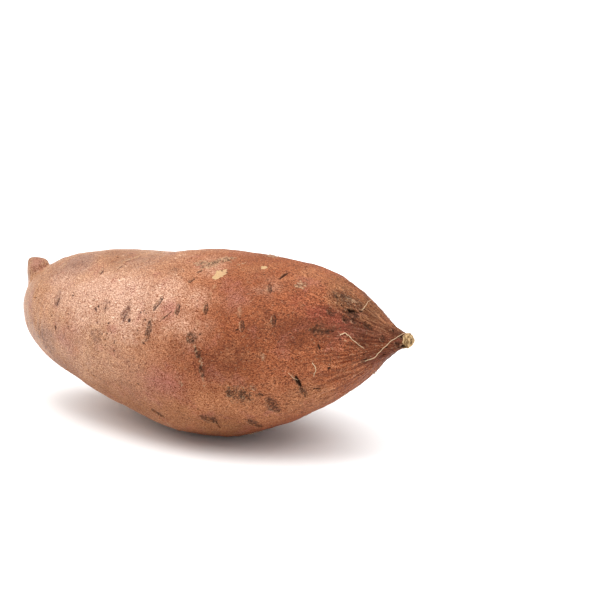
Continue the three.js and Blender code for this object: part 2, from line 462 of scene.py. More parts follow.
def row_marks(draw):
    """An eye or a scar at each hollow of the rows on the far side and the underside."""
    marks = []
    for row, turn in enumerate(EYE_ROW_TURNS):
        for i in range(EYES_IN_A_ROW):
            x = FIRST_EYE_X + i * EYE_PITCH + (row * EYE_ROW_STAGGER) % EYE_PITCH
            kind = draw.choice(ROW_KINDS)
            reach = draw.uniform(2.5, 6)
            slant = draw.uniform(-1.2, 1.2)
            width = draw.uniform(1.2, 2.0)
            marks.append(Mark(kind, x - slant, turn - reach, x + slant, turn + reach, width))
    return marks


def strewn_marks(draw):
    """Small marks of many kinds over the rest of the root."""
    marks = []
    for _ in range(HIDDEN_MARKS):
        x = draw.uniform(*HIDDEN_MARK_X)
        turn = draw.uniform(*HIDDEN_MARK_TURNS)
        kind = draw.choice(HIDDEN_KINDS)
        width = HIDDEN_WIDTHS.get(kind, THIN_MARK) * draw.uniform(0.7, 1.4)
        reach = 0.5 if kind == "pit" else draw.uniform(2, 6)
        slant = draw.uniform(-2, 2)
        marks.append(Mark(kind, x, turn, x + slant, turn + reach, width))
    return marks


def all_tones():
    """Every broad patch, the same in each run. Red and olive patches and the painted tip shade lie near the
    root tip.
    """
    draw = random.Random(TONE_SEED)
    tones = as_list(Tone, SEEN_TONES)
    for i in range(HIDDEN_TONES):
        kind = HIDDEN_TONE_KINDS[i % len(HIDDEN_TONE_KINDS)]
        low, high = (35, 76) if kind in ("olive", "red", "dusk") else (-65, 45)
        reach = draw.uniform(6, 9) if low > 0 else draw.uniform(9, 15)
        turn = draw.uniform(*HIDDEN_TONE_TURNS)
        tones.append(Tone(kind, draw.uniform(low, high), turn, reach, draw.uniform(0.3, 0.6)))
    return tones


def pores(draw):
    """Pores in patches on the -Y side, and a thin scatter of them all round."""
    marks = []
    for x, turn, reach, count in PORE_PATCHES:
        for _ in range(count):
            to_x = x + draw.gauss(0, reach / 2)
            to_turn = turn + draw.gauss(0, reach)
            width = draw.uniform(0.45, 0.8)
            marks.append(Mark("pit", to_x, to_turn, to_x, to_turn + 0.4, width))
    for _ in range(ALL_ROUND_PORES):
        x = draw.uniform(*PORE_X)
        turn = draw.uniform(-180, 180)
        width = draw.uniform(0.35, 0.65)
        marks.append(Mark("pit", x, turn, x + draw.uniform(0.2, 1.0), turn, width))
    return marks


def all_marks():
    """Every mark on the skin, the same in each run."""
    draw = random.Random(MARK_SEED)
    return as_list(Mark, SEEN_MARKS) + row_marks(draw) + strewn_marks(draw) + pores(draw)


# The section across a mark: where its rim and its groove lie, in half widths from its line.
RIM_AT = 1.25
RIM_SPREAD = 0.34
GROOVE_AT = 0.85
GROOVE_SPREAD = 0.28
GROOVE_DEPTH = 0.26  # in millimetres
CRACKED_HEIGHT = 0.1  # in millimetres, of the uneven ground under fine cracks
EDGE_WANDER = 0.22  # how far a mark's edge wanders, as a share of its half width
END_WIDTH = 0.45  # a mark's width at its ends, as a share of its width in the middle
FACING = 25  # within these degrees of a mark, the root is as thick as at the mark


def mark_distance(mark, places, radius):
    """How far points lie from a mark's line, over its half width there: 1 is on its edge.

    The second result is how far they lie towards the root tip from it, in half widths.
    """
    run = np.array([mark.to_x - mark.x, math.radians(turn_gap(mark.to_turn, mark.turn)) * radius])
    length = max(float(np.hypot(*run)), 0.01)
    along_x = places.x - mark.x
    around = np.radians(turn_gap(places.turn, mark.turn)) * radius
    part = np.clip((along_x * run[0] + around * run[1]) / length**2, 0, 1)
    off_x = along_x - part * run[0]
    off = np.hypot(off_x, around - part * run[1])
    belly = np.sqrt(1 - (2 * part - 1) ** 2)
    taper = END_WIDTH + (1 - END_WIDTH) * belly if length > mark.width else 1.0
    half_width = mark.width / 2 * taper
    return off / half_width, off_x / half_width


class Relief:
    """The marks' effect on the skin's points: a rise along the normal, and soft fields of tint.

    A field is 1 in the middle of a mark, 0.5 on its edge and 0 a little outside, so that the
    material can cut it with a crisp and uneven edge.
    """

    FIELDS = ("dark", "pale", "flesh", "stain", "hatch", "ring", "lee", "crust")

    def __init__(self, places):
        self.places = places
        self.rise = np.zeros(len(places.x))
        self.fields = {name: np.zeros(len(places.x)) for name in self.FIELDS}
        self.rough = waves(places.points, 1.6, seed=5)
        self.order = np.argsort(places.x)
        self.sorted_x = places.x[self.order]

    def near(self, mark):
        """The points close enough to a mark to feel it."""
        margin = mark.width * 1.6 + 1  # its widest field reaches 1.4 widths off its line
        low, high = sorted((mark.x, mark.to_x))
        first, last = np.searchsorted(self.sorted_x, (low - margin, high + margin))
        return self.order[first:last]

    def add(self, mark):
        """Presses one mark into the skin."""
        kind = KINDS[mark.kind]
        near = self.near(mark)
        if not len(near):
            return
        places = Places(self.places.points[near])
        middle = np.abs(turn_gap(places.turn, mark.turn)) < FACING
        radius = float(np.median(places.radius[middle])) if middle.any() else GIRTH_RADIUS
        away, tipwards = mark_distance(mark, places, radius)
        away = away * (1 + EDGE_WANDER * self.rough[near])
        floor = np.clip(1 - away**2, 0, 1)
        vine_side = np.clip(0.6 - 0.45 * tipwards, 0.2, 1.15)
        rim = np.exp(-(((away - RIM_AT) / RIM_SPREAD) ** 2)) * vine_side
        self.rise[near] += rim * kind.rim - floor * kind.depth
        groove = np.exp(-(((away - GROOVE_AT) / GROOVE_SPREAD) ** 2))
        self.rise[near] -= groove * kind.ring * GROOVE_DEPTH
        cracked = np.clip(1.5 - away, 0, 1) * kind.hatch
        self.rise[near] += cracked * CRACKED_HEIGHT * self.rough[near]
        inside = np.clip(1 - away / 2, 0, 1)
        wide = np.clip(1 - away / 2.8, 0, 1)
        shares = {name: inside * getattr(kind, name) for name in ("dark", "flesh", "ring")}
        shares |= {name: wide * getattr(kind, name) for name in ("stain", "hatch", "crust")}
        # The pale rim is strongest on the vine side, towards the key light: partly painted highlight.
        shares["pale"] = (rim if kind.depth > 0 or kind.ring else inside) * kind.pale
        # Painted shade: a ring's dark is strongest on its tipward side, away from the key light.
        shares["lee"] = np.clip(0.35 + 0.8 * tipwards, 0, 1) * (away < 2) * kind.ring
        for name, share in shares.items():
            field = self.fields[name]
            field[near] = np.maximum(field[near], share)


MIDDLE_LENGTH = 2.5  # the skin this near a tone's place gives the tone its middle
MIDDLE_TURN = 14


def tone_fields(places):
    """How strongly each kind of broad patch colours each point, from 0 to 1."""
    fields = {kind: np.zeros(len(places.x)) for kind in TONE_KINDS}
    for tone in all_tones():
        close = np.abs(places.x - tone.x) < MIDDLE_LENGTH
        turned = np.abs(turn_gap(places.turn[close], tone.turn)) < MIDDLE_TURN
        centre = places.points[close][turned].mean(axis=0)
        distance = np.linalg.norm(places.points - centre, axis=1)
        share = tone.strength * np.exp(-((distance / tone.reach) ** 2))
        fields[tone.kind] = np.maximum(fields[tone.kind], share)
    return fields


# Finer shape


class Push(NamedTuple):
    """A soft push on the skin: at which place, by how much along x, y and z, and its reach."""

    place: tuple
    by: tuple
    reach: float


# The neck of the root tip is slimmer underneath than the CAD root's.
NECK_PUSHES = [
    Push((75, 0, 38.5), (0, 0, 0.9), 5),
    Push((80.5, 0, 43.5), (0, 0, 1.1), 4),
    Push((84.5, 0, 45), (0, 0, 1), 3),
]

# The knob at the vine end has a flat top and a corner, and a crease parts it from the shoulder.
KNOB_PUSHES = [
    Push((-83.6, -0.3, 56.6), (-0.8, 0, 1), 2.4),
    Push((-77.2, 0, 58), (0, 0, -0.7), 2.4),
    Push((-80.2, 5.6, 55.9), (-0.4, -0.7, -0.5), 2.8),
    Push((-74.8, -0.4, 56.3), (0, 0, -0.9), 2.2),
    Push((-76.3, -3.6, 54.9), (-0.3, 0.8, -0.6), 1.7),
    Push((-77.6, -6.2, 53), (-0.2, 1, -0.4), 1.7),
    Push((-79.2, -7, 51), (0, 1, -0.2), 1.8),
    Push((-76.5, 5, 54), (-0.3, -0.8, -0.6), 1.9),
    Push((-78.6, 7.6, 51.6), (0, -1, -0.4), 1.9),
    Push((-81.6, 6, 48.6), (0.6, -0.6, 0), 1.9),
    Push((-82.6, 0.5, 48), (0.8, 0, 0), 1.9),
    Push((-82, -5, 48.6), (0.6, 0.6, 0), 1.9),
]


def pushed(points, pushes):
    """The points after every push."""
    result = points.copy()
    for push in pushes:
        distance = np.linalg.norm(points - push.place, axis=1)
        share = np.exp(-((distance / push.reach) ** 2))
        result += share[:, None] * np.array(push.by)
    return result


# The skin's mesh


WELD = 0.002  # vertices of the CAD copy nearer than this are one
SMOOTHING_LEVELS = 2
QUAD_BEND = 40  # two triangles this many degrees apart may still be one quad
QUAD_SKEW = 60  # and its corners may be this many degrees off square
FINER_WITHIN = 1.3  # skin this many half widths from a mark's line gets smaller faces
FINER_KINDS = ("slit", "eye", "scar", "gash", "bump", "flake", "scratch")
NECK_X = 70  # where the root draws in to its tip
RIM_X = 83.6  # where the tip's broken end begins
WRINKLES_FROM_X = 30
VINE_WRINKLES_X = (-50, -72)  # where the wrinkles across the vine end begin, and have their height
TIP_WRINKLES = 0.6  # shares of the wrinkle height
VINE_WRINKLES = 0.35
FOLD_HEIGHT = 0.3
FRAY_HEIGHT = 0.12


def object_from(name, mesh):
    """A new object in the scene that holds a mesh."""
    made = bpy.data.objects.new(name, mesh)
    bpy.context.scene.collection.objects.link(made)
    return made


def quad_copy(node):
    """A copy of a CAD node's mesh, merged, with its pairs of triangles joined to quads."""
    bm = bmesh.new()
    bm.from_mesh(node.data)
    bmesh.ops.remove_doubles(bm, verts=bm.verts, dist=WELD * MM)
    bmesh.ops.join_triangles(
        bm,
        faces=bm.faces,
        angle_face_threshold=math.radians(QUAD_BEND),
        angle_shape_threshold=math.radians(QUAD_SKEW),
    )
    mesh = bpy.data.meshes.new("skin_base")
    bm.to_mesh(mesh)
    bm.free()
    return mesh


def smoothed(mesh, levels):
    """The mesh after subdivision surface smoothing."""
    carrier = object_from("skin_carrier", mesh)
    smoothing = carrier.modifiers.new("smoothing", "SUBSURF")
    smoothing.levels = levels
    smoothing.render_levels = levels
    bpy.context.view_layer.update()
    graph = bpy.context.evaluated_depsgraph_get()
    result = bpy.data.meshes.new_from_object(carrier.evaluated_get(graph))
    bpy.data.objects.remove(carrier)
    return result


def mesh_points(bm):
    """A bmesh's vertices in millimetres."""
    return np.array([v.co for v in bm.verts]) / MM


def refine_near_marks(bm, marks):
    """Splits the faces under the larger marks, so that their relief has enough vertices."""
    places = Places(np.array([face.calc_center_median() for face in bm.faces]) / MM)
    relief = Relief(places)
    chosen = np.zeros(len(places.x), bool)
    for mark in marks:
        if mark.kind in FINER_KINDS:
            near = relief.near(mark)
            close = Places(places.points[near])
            radius = float(np.median(close.radius)) if len(near) else GIRTH_RADIUS
            reach = mark_distance(mark, close, radius)[0] < FINER_WITHIN
            chosen[near[reach]] = True
    bm.faces.ensure_lookup_table()
    edges = {edge for i in np.flatnonzero(chosen) for edge in bm.faces[i].edges}
    bmesh.ops.subdivide_edges(bm, edges=list(edges), cuts=1, use_grid_fill=True)


def tip_folds(places):
    """How far the dry folds of the broken root tip stand out, in millimetres."""
    on_end = smooth_step(RIM_X - 1.4, RIM_X, places.x)
    folds = waves(places.points, 1.3, seed=23, stretch=(1, 0.7, 1.5))
    frayed = waves(places.points, 0.6, seed=29)
    return on_end * (FOLD_HEIGHT * folds + FRAY_HEIGHT * frayed)


def body_unevenness(places, settings):
    """The soft unevenness, and the wrinkles along the tip's side and across the vine end."""
    uneven = waves(places.points, 13, seed=3) + 0.5 * waves(places.points, 6, seed=4)
    height = uneven * settings.unevenness / MM * smooth_step(3, 14, places.radius)
    wrinkles = waves(places.points, 2.6, seed=7, stretch=(6, 1, 1))
    towards_tip = smooth_step(WRINKLES_FROM_X, NECK_X, places.x) * smooth_step(1.5, 4, places.radius)
    height += wrinkles * towards_tip * settings.wrinkle_height / MM * TIP_WRINKLES
    across = waves(places.points, 3.4, seed=9, stretch=(0.8, 3, 3))
    towards_vine = smooth_step(*VINE_WRINKLES_X, places.x)
    return height + across * towards_vine * settings.wrinkle_height / MM * VINE_WRINKLES


def build_skin(settings):
    """The root's skin: the CAD root made finer, with every mark pressed into it."""
    marks = all_marks()
    mesh = smoothed(quad_copy(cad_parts[NODE]), SMOOTHING_LEVELS)
    bm = bmesh.new()
    bm.from_mesh(mesh)
    refine_near_marks(bm, marks)
    for vertex, point in zip(bm.verts, pushed(mesh_points(bm), KNOB_PUSHES + NECK_PUSHES)):
        vertex.co = Vector(point) * MM
    bm.normal_update()
    places = Places(mesh_points(bm))
    relief = Relief(places)
    for mark in marks:
        relief.add(mark)
    rise = relief.rise * smooth_step(1, 5, places.radius)
    rise += body_unevenness(places, settings) + tip_folds(places)
    for vertex, height in zip(bm.verts, rise):
        vertex.co += vertex.normal * float(height) * MM
        vertex.co.z = max(vertex.co.z, 0)
    for face in bm.faces:
        face.smooth = True
    bm.to_mesh(mesh)
    bm.free()
    for name, field in {**relief.fields, **tone_fields(places)}.items():
        layer = mesh.attributes.new(name, "FLOAT", "POINT")
        layer.data.foreach_set("value", field.astype(np.float32))
    layer = mesh.attributes.new("grain_place", "FLOAT_VECTOR", "POINT")
    layer.data.foreach_set("vector", places.in_grain().astype(np.float32).ravel())
    mesh.materials.clear()
    mesh.name = "skin"
    return object_from("skin", mesh)


# Shader maths


class Wire:
    """A socket in a material's node tree, so that shader maths reads as Python expressions."""

    def __init__(self, tree, socket=None):
        self.tree = tree
        self.socket = socket

    def node(self, kind, settings=None, inputs=None, output=0):
        """Adds a node: its settings are set first, then the values or links of its sockets."""
        made = self.tree.nodes.new(kind)
        for name, value in (settings or {}).items():
            if name == "stops":
                lay_stops(made.color_ramp, value)
            else:
                setattr(made, name, value)
        for name, value in (inputs or {}).items():
            if isinstance(value, Wire):
                self.tree.links.new(value.socket, made.inputs[name])
            else:
                made.inputs[name].default_value = value
        return Wire(self.tree, made.outputs[output])

    def maths(self, operation, *values):
        return self.node("ShaderNodeMath", {"operation": operation}, dict(enumerate(values)))

    def __add__(self, other):
        return self.maths("ADD", self, other)

    def __radd__(self, other):
        return self.maths("ADD", other, self)

    def __sub__(self, other):
        return self.maths("SUBTRACT", self, other)

    def __rsub__(self, other):
        return self.maths("SUBTRACT", other, self)

    def __mul__(self, other):
        return self.maths("MULTIPLY", self, other)

    def __rmul__(self, other):
        return self.maths("MULTIPLY", other, self)

    def __truediv__(self, other):
        return self.maths("DIVIDE", self, other)

    def step(self, low, high):
        """0 below low, 1 above high and a soft rise between. High may be the lower one."""
        return self.node(
            "ShaderNodeMapRange",
            {"interpolation_type": "SMOOTHSTEP"},
            {"Value": self, "From Min": low, "From Max": high},
        )

    def scaled(self, factors):
        """This vector times three factors."""
        return self.node("ShaderNodeVectorMath", {"operation": "MULTIPLY"}, {0: self, 1: factors})

    def noise(self, size, detail=2.0, roughness=0.5, stretch=(1, 1, 1), shift=0.0):
        """Cloudy noise from 0 to 1 with features of about that size, in millimetres."""
        point = self.scaled(tuple(1 / (size * s) for s in stretch))
        if shift:
            point = self.node(
                "ShaderNodeVectorMath", {"operation": "ADD"}, {0: point, 1: (shift,) * 3}
            )
        return self.node(
            "ShaderNodeTexNoise",
            {},
            {"Vector": point, "Scale": 1.0, "Detail": detail, "Roughness": roughness},
        )

    def line(self, width):
        """1 where this noise passes its middle value, falling to 0 by that width on each side."""
        away = self.maths("ABSOLUTE", self - 0.5)
        return away.step(width, 0)

    def contrasted(self, gain):
        """This value from 0 to 1, spread away from its middle."""
        return (self - 0.5) * gain + 0.5

    def spots(self, size, stretch=(1, 1, 1)):
        """The distance to the nearest of many strewn points, which lie about size apart."""
        point = self.scaled(tuple(1 / (size * s) for s in stretch))
        return self.node("ShaderNodeTexVoronoi", {}, {"Vector": point, "Scale": 1.0})

    def wobbled(self, amount, size):
        """This vector pushed about by noise, by up to about that amount, in millimetres."""
        push = self.node(
            "ShaderNodeTexNoise",
            {},
            {"Vector": self, "Scale": 1 / size, "Detail": 1.0},
            output="Color",
        )
        middled = self.node("ShaderNodeVectorMath", {"operation": "SUBTRACT"}, {0: push, 1: (0.5,) * 3})
        scaled = middled.scaled((amount * 2,) * 3)
        return self.node("ShaderNodeVectorMath", {"operation": "ADD"}, {0: self, 1: scaled})

    def plain(self, colour):
        """A colour property as a colour wire."""
        return self.node("ShaderNodeCombineColor", {}, dict(zip(("Red", "Green", "Blue"), colour)))

    def tinted(self, factor, colour):
        """This colour, turned towards another one by a factor."""
        return self.node(
            "ShaderNodeMix",
            {"data_type": "RGBA", "clamp_factor": True},
            {0: factor, 6: self, 7: as_colour(colour)},
            output=2,
        )

    def grained(self, amount):
        """This colour, paler where the amount is above 0 and redder where it is below."""
        gains = self.node(
            "ShaderNodeCombineXYZ", {}, {"X": 1 + amount * 0.67, "Y": 1 + amount, "Z": 1 + amount * 1.3}
        )
        return self.node("ShaderNodeVectorMath", {"operation": "MULTIPLY"}, {0: self, 1: gains})

    def brightened(self, factor):
        """This colour times a number that changes over the surface."""
        return self.node("ShaderNodeVectorMath", {"operation": "SCALE"}, {0: self, "Scale": factor})


def as_colour(colour):
    """A colour property as the four values of a colour socket, or a wire as it is."""
    return colour if isinstance(colour, Wire) else (*colour, 1.0)


def lay_stops(ramp, stops):
    """Sets a colour ramp's stops: pairs of a place from 0 to 1 and a colour."""
    while len(ramp.elements) < len(stops):
        ramp.elements.new(1.0)
    for element, (place, colour) in zip(ramp.elements, stops):
        element.position = place
        element.color = (*colour, 1.0)


def new_material(name):
    """An empty material: itself, a wire to start from, and its output node."""
    material = bpy.data.materials.new(name)
    material.use_nodes = True
    tree = material.node_tree
    tree.nodes.clear()
    return material, Wire(tree), tree.nodes.new("ShaderNodeOutputMaterial")


def finish_material(start, output, inputs):
    """Gives the material its shader."""
    shader = start.node("ShaderNodeBsdfPrincipled", {}, inputs)
    start.tree.links.new(shader.socket, output.inputs["Surface"])


# Materials


ROOT_LOW_X = -85.0
ROOT_HIGH_X = 85.0
NECK_GIRTH_RADIUS = 14.0  # the furrows that meet at the tip are as wide as on a neck this thick
CRUST_HEIGHT = 0.14
CRACK_DEPTH = 0.16
FIBRE_HEIGHT = 0.5  # of the fibres in the bed of the broken end

# The skin's colours along the root; the neck's is darker partly as painted shade.
COLOUR_STOPS = [
    (-80, "vine_end"), (-34, "vine_end"), (8, "shoulder"), (26, "belly"),
    (46, "tip_side"), (68, "tip_side"), (82, "neck"),
]


def share_of_length(x):
    """How far along the root a place is, from 0 at the vine end to 1 at the root tip."""
    return (x - ROOT_LOW_X) / (ROOT_HIGH_X - ROOT_LOW_X)


def broken_up(field, noise, cut, reach):
    """1 where a field is strong and 0 where it is weak, with an edge that noise breaks up.

    Cut holds the values at which it turns from 0 to 1. Below the first value of reach there is
    none of it, whatever the noise.
    """
    return (field + noise).step(*cut) * field.step(*reach)


def ground_colour(start, point, x, field, skin):
    """The skin's colour, from peach at the vine end to copper brown at the root tip, with painted sheen and
    painted shade among its patches.
    """
    drift = (point.noise(26, 2) - 0.5) * 40
    stops = [(share_of_length(place), getattr(skin, name)) for place, name in COLOUR_STOPS]
    colour = start.node("ShaderNodeValToRGB", {"stops": stops}, {"Fac": share_of_length(x + drift)})
    cloud = point.noise(9, 4, 0.68, stretch=(1.5, 1, 1), shift=3.7) - 0.5
    # Among these tones, glow is painted highlight, and dusk and shade are painted shade.
    for kind in TONE_KINDS:
        patch = broken_up(field[kind], cloud * 1.1, (0.05, 0.8), (0.0, 0.35))
        colour = colour.tinted(patch, getattr(skin, kind))
    blotch = point.noise(9, 3, 0.6, shift=9.4)
    colour = colour.tinted(blotch.step(0.54, 0.74) * 0.5, skin.pink)
    return colour.tinted(blotch.step(0.44, 0.28) * 0.4, skin.tan)


def streaked(colour, point, lay, z, x, skin):
    """Pale streaks and worn flecks along the top of the vine end."""
    uppermost = z.step(36, 54) * x.step(20, -18)
    streaks = lay.noise(1.3, 3, 0.6, stretch=(4.2, 1, 1), shift=1.9).step(0.56, 0.7)
    worn = point.noise(11, 2, 0.5, shift=5.3).step(0.38, 0.6)
    return colour.tinted(streaks * worn * uppermost * 0.5, skin.scuff)


def lengthwise_place(start, lay):
    """The place in the grain with its lines drawn together at the root tip."""
    around = start.node("ShaderNodeVectorMath", {"operation": "NORMALIZE"}, {0: lay.scaled((0, 1, 1))})
    return start.node(
        "ShaderNodeVectorMath",
        {"operation": "MULTIPLY_ADD"},
        {0: around, 1: (NECK_GIRTH_RADIUS,) * 3, 2: lay.scaled((1, 0, 0))},
    )


def skin_material(skin):
    """Thin copper-orange skin with grain, pores, scars and a straw-coloured broken tip."""
    material, start, output = new_material("sweet_potato_skin")
    place = start.node("ShaderNodeTexCoord", output="Object")
    point = place.scaled((1 / MM,) * 3)
    x = start.node("ShaderNodeSeparateXYZ", {}, {"Vector": point}, output="X")
    z = start.node("ShaderNodeSeparateXYZ", {}, {"Vector": point}, output="Z")
    lay = start.node("ShaderNodeAttribute", {"attribute_name": "grain_place"}, output="Vector")
    field = {
        name: start.node("ShaderNodeAttribute", {"attribute_name": name}, output="Fac")
        for name in Relief.FIELDS + TONE_KINDS
    }
    towards_tip = x.step(8, 50)
    near_tip = x.step(44, 74)

    # Grain
    dirt = start.plain(skin.dirt).tinted(x.step(-4, -26) * 0.8, skin.garnet)
    edge = (point.noise(0.9, 3, 0.6) - 0.5) * 0.5
    grain = lay.noise(0.48, 2, 0.75, stretch=(1.5, 0.9, 0.9)).contrasted(1.7)
    fine_grain = lay.noise(0.3, 1, 0.5, stretch=(1.5, 0.9, 0.9), shift=12.1).contrasted(1.8)
    crinkle = lay.noise(1.3, 3, 0.6, stretch=(1.9, 1, 1), shift=2.9).line(0.05)
    mottle = point.noise(3.4, 3, 0.6, stretch=(1.5, 1, 1), shift=2.2)
    colour = ground_colour(start, point, x, field, skin)
    colour = streaked(colour, point, lay, z, x, skin)
    fine = (fine_grain - 0.5) * (2.1 + near_tip * 0.5)
    grainy = (grain - 0.5) * 1.9 + fine + (mottle - 0.5) * 0.5
    colour = colour.grained(grainy * 1.1 + 0.2)
    colour = colour.tinted(crinkle * 0.16, skin.dirt)
    fleck = point.noise(0.85, 2, 0.5, stretch=(1.3, 1, 1), shift=7.7).step(0.6, 0.72)
    colour = colour.tinted(fleck * (0.28 + near_tip * 0.3), skin.cork_and_rim_highlight)

    # Dashes, dots and furrows
    flow = lay.wobbled(0.5, 6)
    dash_lines = flow.noise(0.8, 1, 0.5, stretch=(3.2, 1, 1), shift=14.6).line(0.1)
    dash_breaks = flow.noise(1.2, 2, 0.6, stretch=(1.5, 0.7, 0.7), shift=10.4).step(0.5, 0.6)
    dash_spots = flow.spots(0.78, stretch=(2.7, 0.85, 0.85)).step(0.34, 0.19)
    dash = dash_spots.maths("MAXIMUM", dash_spots, dash_lines * dash_breaks * 0.6)
    dash = dash * point.noise(7, 2, 0.5, shift=6.1).step(0.2, 0.45) * (0.1 + towards_tip * 0.85)
    colour = colour.tinted(dash, skin.line)
    dots = lay.spots(2.4).step(0.14, 0.07) * 0.6
    colour = colour.tinted(dots, dirt)
    pore = dots.maths("MAXIMUM", dash, dots)
    lengthwise = lengthwise_place(start, lay).wobbled(0.4, 9)
    furrows = lengthwise.noise(0.8, 2, 0.55, stretch=(14, 1, 1), shift=5.9)
    colour = colour.grained((furrows - 0.51) * near_tip * 4.2)
    furrow_lines = lengthwise.noise(0.9, 1, 0.5, stretch=(16, 1, 1), shift=3.1).line(0.09)
    furrow_breaks = lengthwise.noise(2.4, 2, 0.5, stretch=(3, 1, 1), shift=8.1).step(0.36, 0.56)
    colour = colour.tinted(furrow_lines * furrow_breaks * near_tip * 0.75, skin.line)
    tip_specks = lay.spots(1.2).step(0.27, 0.14)
    colour = colour.tinted(tip_specks * near_tip * 0.45, dirt)

    # Stains, rims, crusts and chips
    patchy = point.noise(1.7, 4, 0.7, stretch=(0.8, 1.2, 1.2), shift=6.6) - 0.5
    stain = broken_up(field["stain"], patchy * 1.4, (0.1, 0.7), (0.0, 0.15))
    specks = point.noise(0.7, 2, 0.6, stretch=(1.3, 1, 1), shift=8.8).step(0.44, 0.6)
    colour = colour.tinted(stain * (specks * 0.5 + 0.22), skin.stain)
    # Pale rims: cork colour that is partly painted highlight on the vine side facing the key light.
    pale = broken_up(field["pale"], edge * 1.1, (0.1, 0.75), (0.02, 0.25))
    colour = colour.tinted(pale * 0.75, skin.cork_and_rim_highlight)
    flecks = point.noise(0.9, 3, 0.7, stretch=(1.6, 1, 1), shift=4.4) - 0.5
    crust = broken_up(field["crust"], flecks * 4, (0.5, 0.8), (0.02, 0.2))
    colour = colour.tinted(crust * 0.85, skin.cork_and_rim_highlight)
    chipped = field["flesh"] + edge * 0.3 + (point.noise(2.2, 1, 0.5, shift=1.3) - 0.5) * 0.5
    flesh = chipped.step(0.46, 0.52)
    flesh_rim = chipped.step(0.38, 0.46) - flesh
    colour = colour.tinted(flesh_rim * 0.45, dirt)
    flesh_shade = start.plain(skin.flesh).tinted(mottle.step(0.35, 0.65) * 0.45, skin.cork_and_rim_highlight)
    colour = colour.tinted(flesh, flesh_shade.brightened(0.82 + grain * 0.3))

    # Cracks, grooves and holes
    crack_lines = lay.noise(1.4, 3, 0.65, stretch=(1, 1.3, 1.3), shift=8.3).line(0.06)
    crumbs = lay.noise(0.8, 3, 0.7, stretch=(1.3, 1, 1), shift=15.8).step(0.53, 0.62)
    cracks = crack_lines.maths("MAXIMUM", crack_lines, crumbs)
    cracks = cracks * (field["hatch"] + patchy * 0.9).step(0.2, 0.6)
    colour = colour.tinted(cracks * 0.84, dirt)
    ringed = field["ring"] + edge * 0.34
    ring = ringed.step(0.4, 0.54) - ringed.step(0.6, 0.78)
    # The ring's dark is painted shade, strongest on the tipward side.
    ring = ring * (point.noise(1.5, 2, 0.5, shift=2.7).step(0.26, 0.5) * 0.3 + field["lee"])
    colour = colour.tinted(ringed.step(0.6, 0.78) * 0.2, skin.stain)
    colour = colour.tinted(ring * 0.9, dirt)
    dark = broken_up(field["dark"], edge * 0.6 + patchy * 0.7, (0.4, 0.8), (0.1, 0.3))
    colour = colour.tinted(dark * 0.84, dirt)

    # The broken end
    end = (x + edge * 2.4).step(RIM_X - 1.2, RIM_X - 0.2)
    fibres = point.noise(0.7, 3, 0.6, stretch=(1, 0.6, 2.2), shift=3.3)
    straw = colour.tinted(1.0, skin.straw).brightened(0.5 + fibres)
    colour = colour.tinted(end, straw).tinted(dark * 0.8, skin.dirt)

    # Height and gloss
    grain_height = skin.grain_height / MM
    height = (grain + fine_grain * 0.4 - 0.7) * grain_height * 2
    height = height - crinkle * grain_height * 0.7
    height = height + (mottle - 0.5) * grain_height * 1.6
    height = height - pore * (skin.pore_depth / MM)
    height = height + (furrows - 0.5) * near_tip * (skin.wrinkle_height / MM) * 4
    height = height + crust * CRUST_HEIGHT
    height = height - cracks * CRACK_DEPTH
    height = height + (fibres - 0.5) * end * FIBRE_HEIGHT
    normal = start.node("ShaderNodeBump", {}, {"Height": height, "Distance": MM})
    waxy = x.step(10, -25) * z.step(14, 38)
    roughness = 0.6 - waxy * 0.2 + (mottle - 0.5) * 0.2 + dark * 0.3 + end * 0.3
    finish_material(
        start,
        output,
        {
            "Base Color": colour,
            "Roughness": roughness,
            "Normal": normal,
            "Specular IOR Level": 0.16,
            "Coat Weight": waxy * 0.34,
            "Coat Roughness": 0.42,
        },
    )
    return material


def fibre_material(name, colour):
    """Dry rootlets or fibres: straw brown, a little uneven, matt."""
    material, start, output = new_material(name)
    point = start.node("ShaderNodeTexCoord", output="Object").scaled((1 / MM,) * 3)
    uneven = point.noise(1.1, 3, 0.6)
    shade = start.plain(colour).brightened(0.6 + uneven * 0.75)
    normal = start.node("ShaderNodeBump", {}, {"Height": uneven * 0.1, "Distance": MM})
    finish_material(start, output, {"Base Color": shade, "Roughness": 0.75, "Normal": normal})
    return material


# Rootlets and tip fibres


class Thread(NamedTuple):
    """A rootlet: its points on the skin, each x, turn and lift off it in mm, and its thickness."""

    points: list
    thickness: float = 1.0


# The rootlets near the root tip, and hairs near the vine end.
SEEN_ROOTLETS = [
    Thread(
        [
            (63.4, 64, 0), (64.4, 61, 0.2), (65.8, 62, 0.25),
            (67, 67, 0.15), (69, 73, 0.25), (71, 81, 0.1),
        ],
        1.05,
    ),
    Thread(
        [
            (71, 106, 0), (74, 106, 0.2), (75, 98, 0.1), (76, 92, 0.25), (78, 72, 0.3),
            (80.5, 42, 0.4), (82.4, 18, 0.7), (84.2, -8, 2.2), (85.6, -24, 3.2),
        ],
        0.8,
    ),
    Thread([(56, 90.5, 0.1), (57, 96, 0.2), (57, 99, 0.15), (56, 104, 0.1)], 0.95),
    Thread([(66.5, 18, 0), (66, 8, 0.3), (66, -3, 0.2), (66.2, -10, 1.2), (66.2, -13, 2.8)], 0.65),
    Thread([(47, 94, 0), (48.4, 96, 0.1), (50, 100.5, 0.1), (50.6, 104, 0)], 0.55),
    Thread([(-66, 17, 0), (-66, 14, 0.7), (-65.6, 11, 1.5)], 0.6),
    Thread([(-60, 137, 0), (-60.3, 138, 0.8), (-60.9, 139, 1.4)], 0.6),
    Thread([(70, 168, 0), (70.3, 170, 0.6), (70.2, 172, 1.2)], 0.8),
]
HIDDEN_ROOTLETS = 9
HIDDEN_ROOTLET_SEED = 17
HIDDEN_ROOTLET_TURNS = (160, 330)
HIDDEN_ROOTLET_POINTS = 5
KINK_SEED = 41
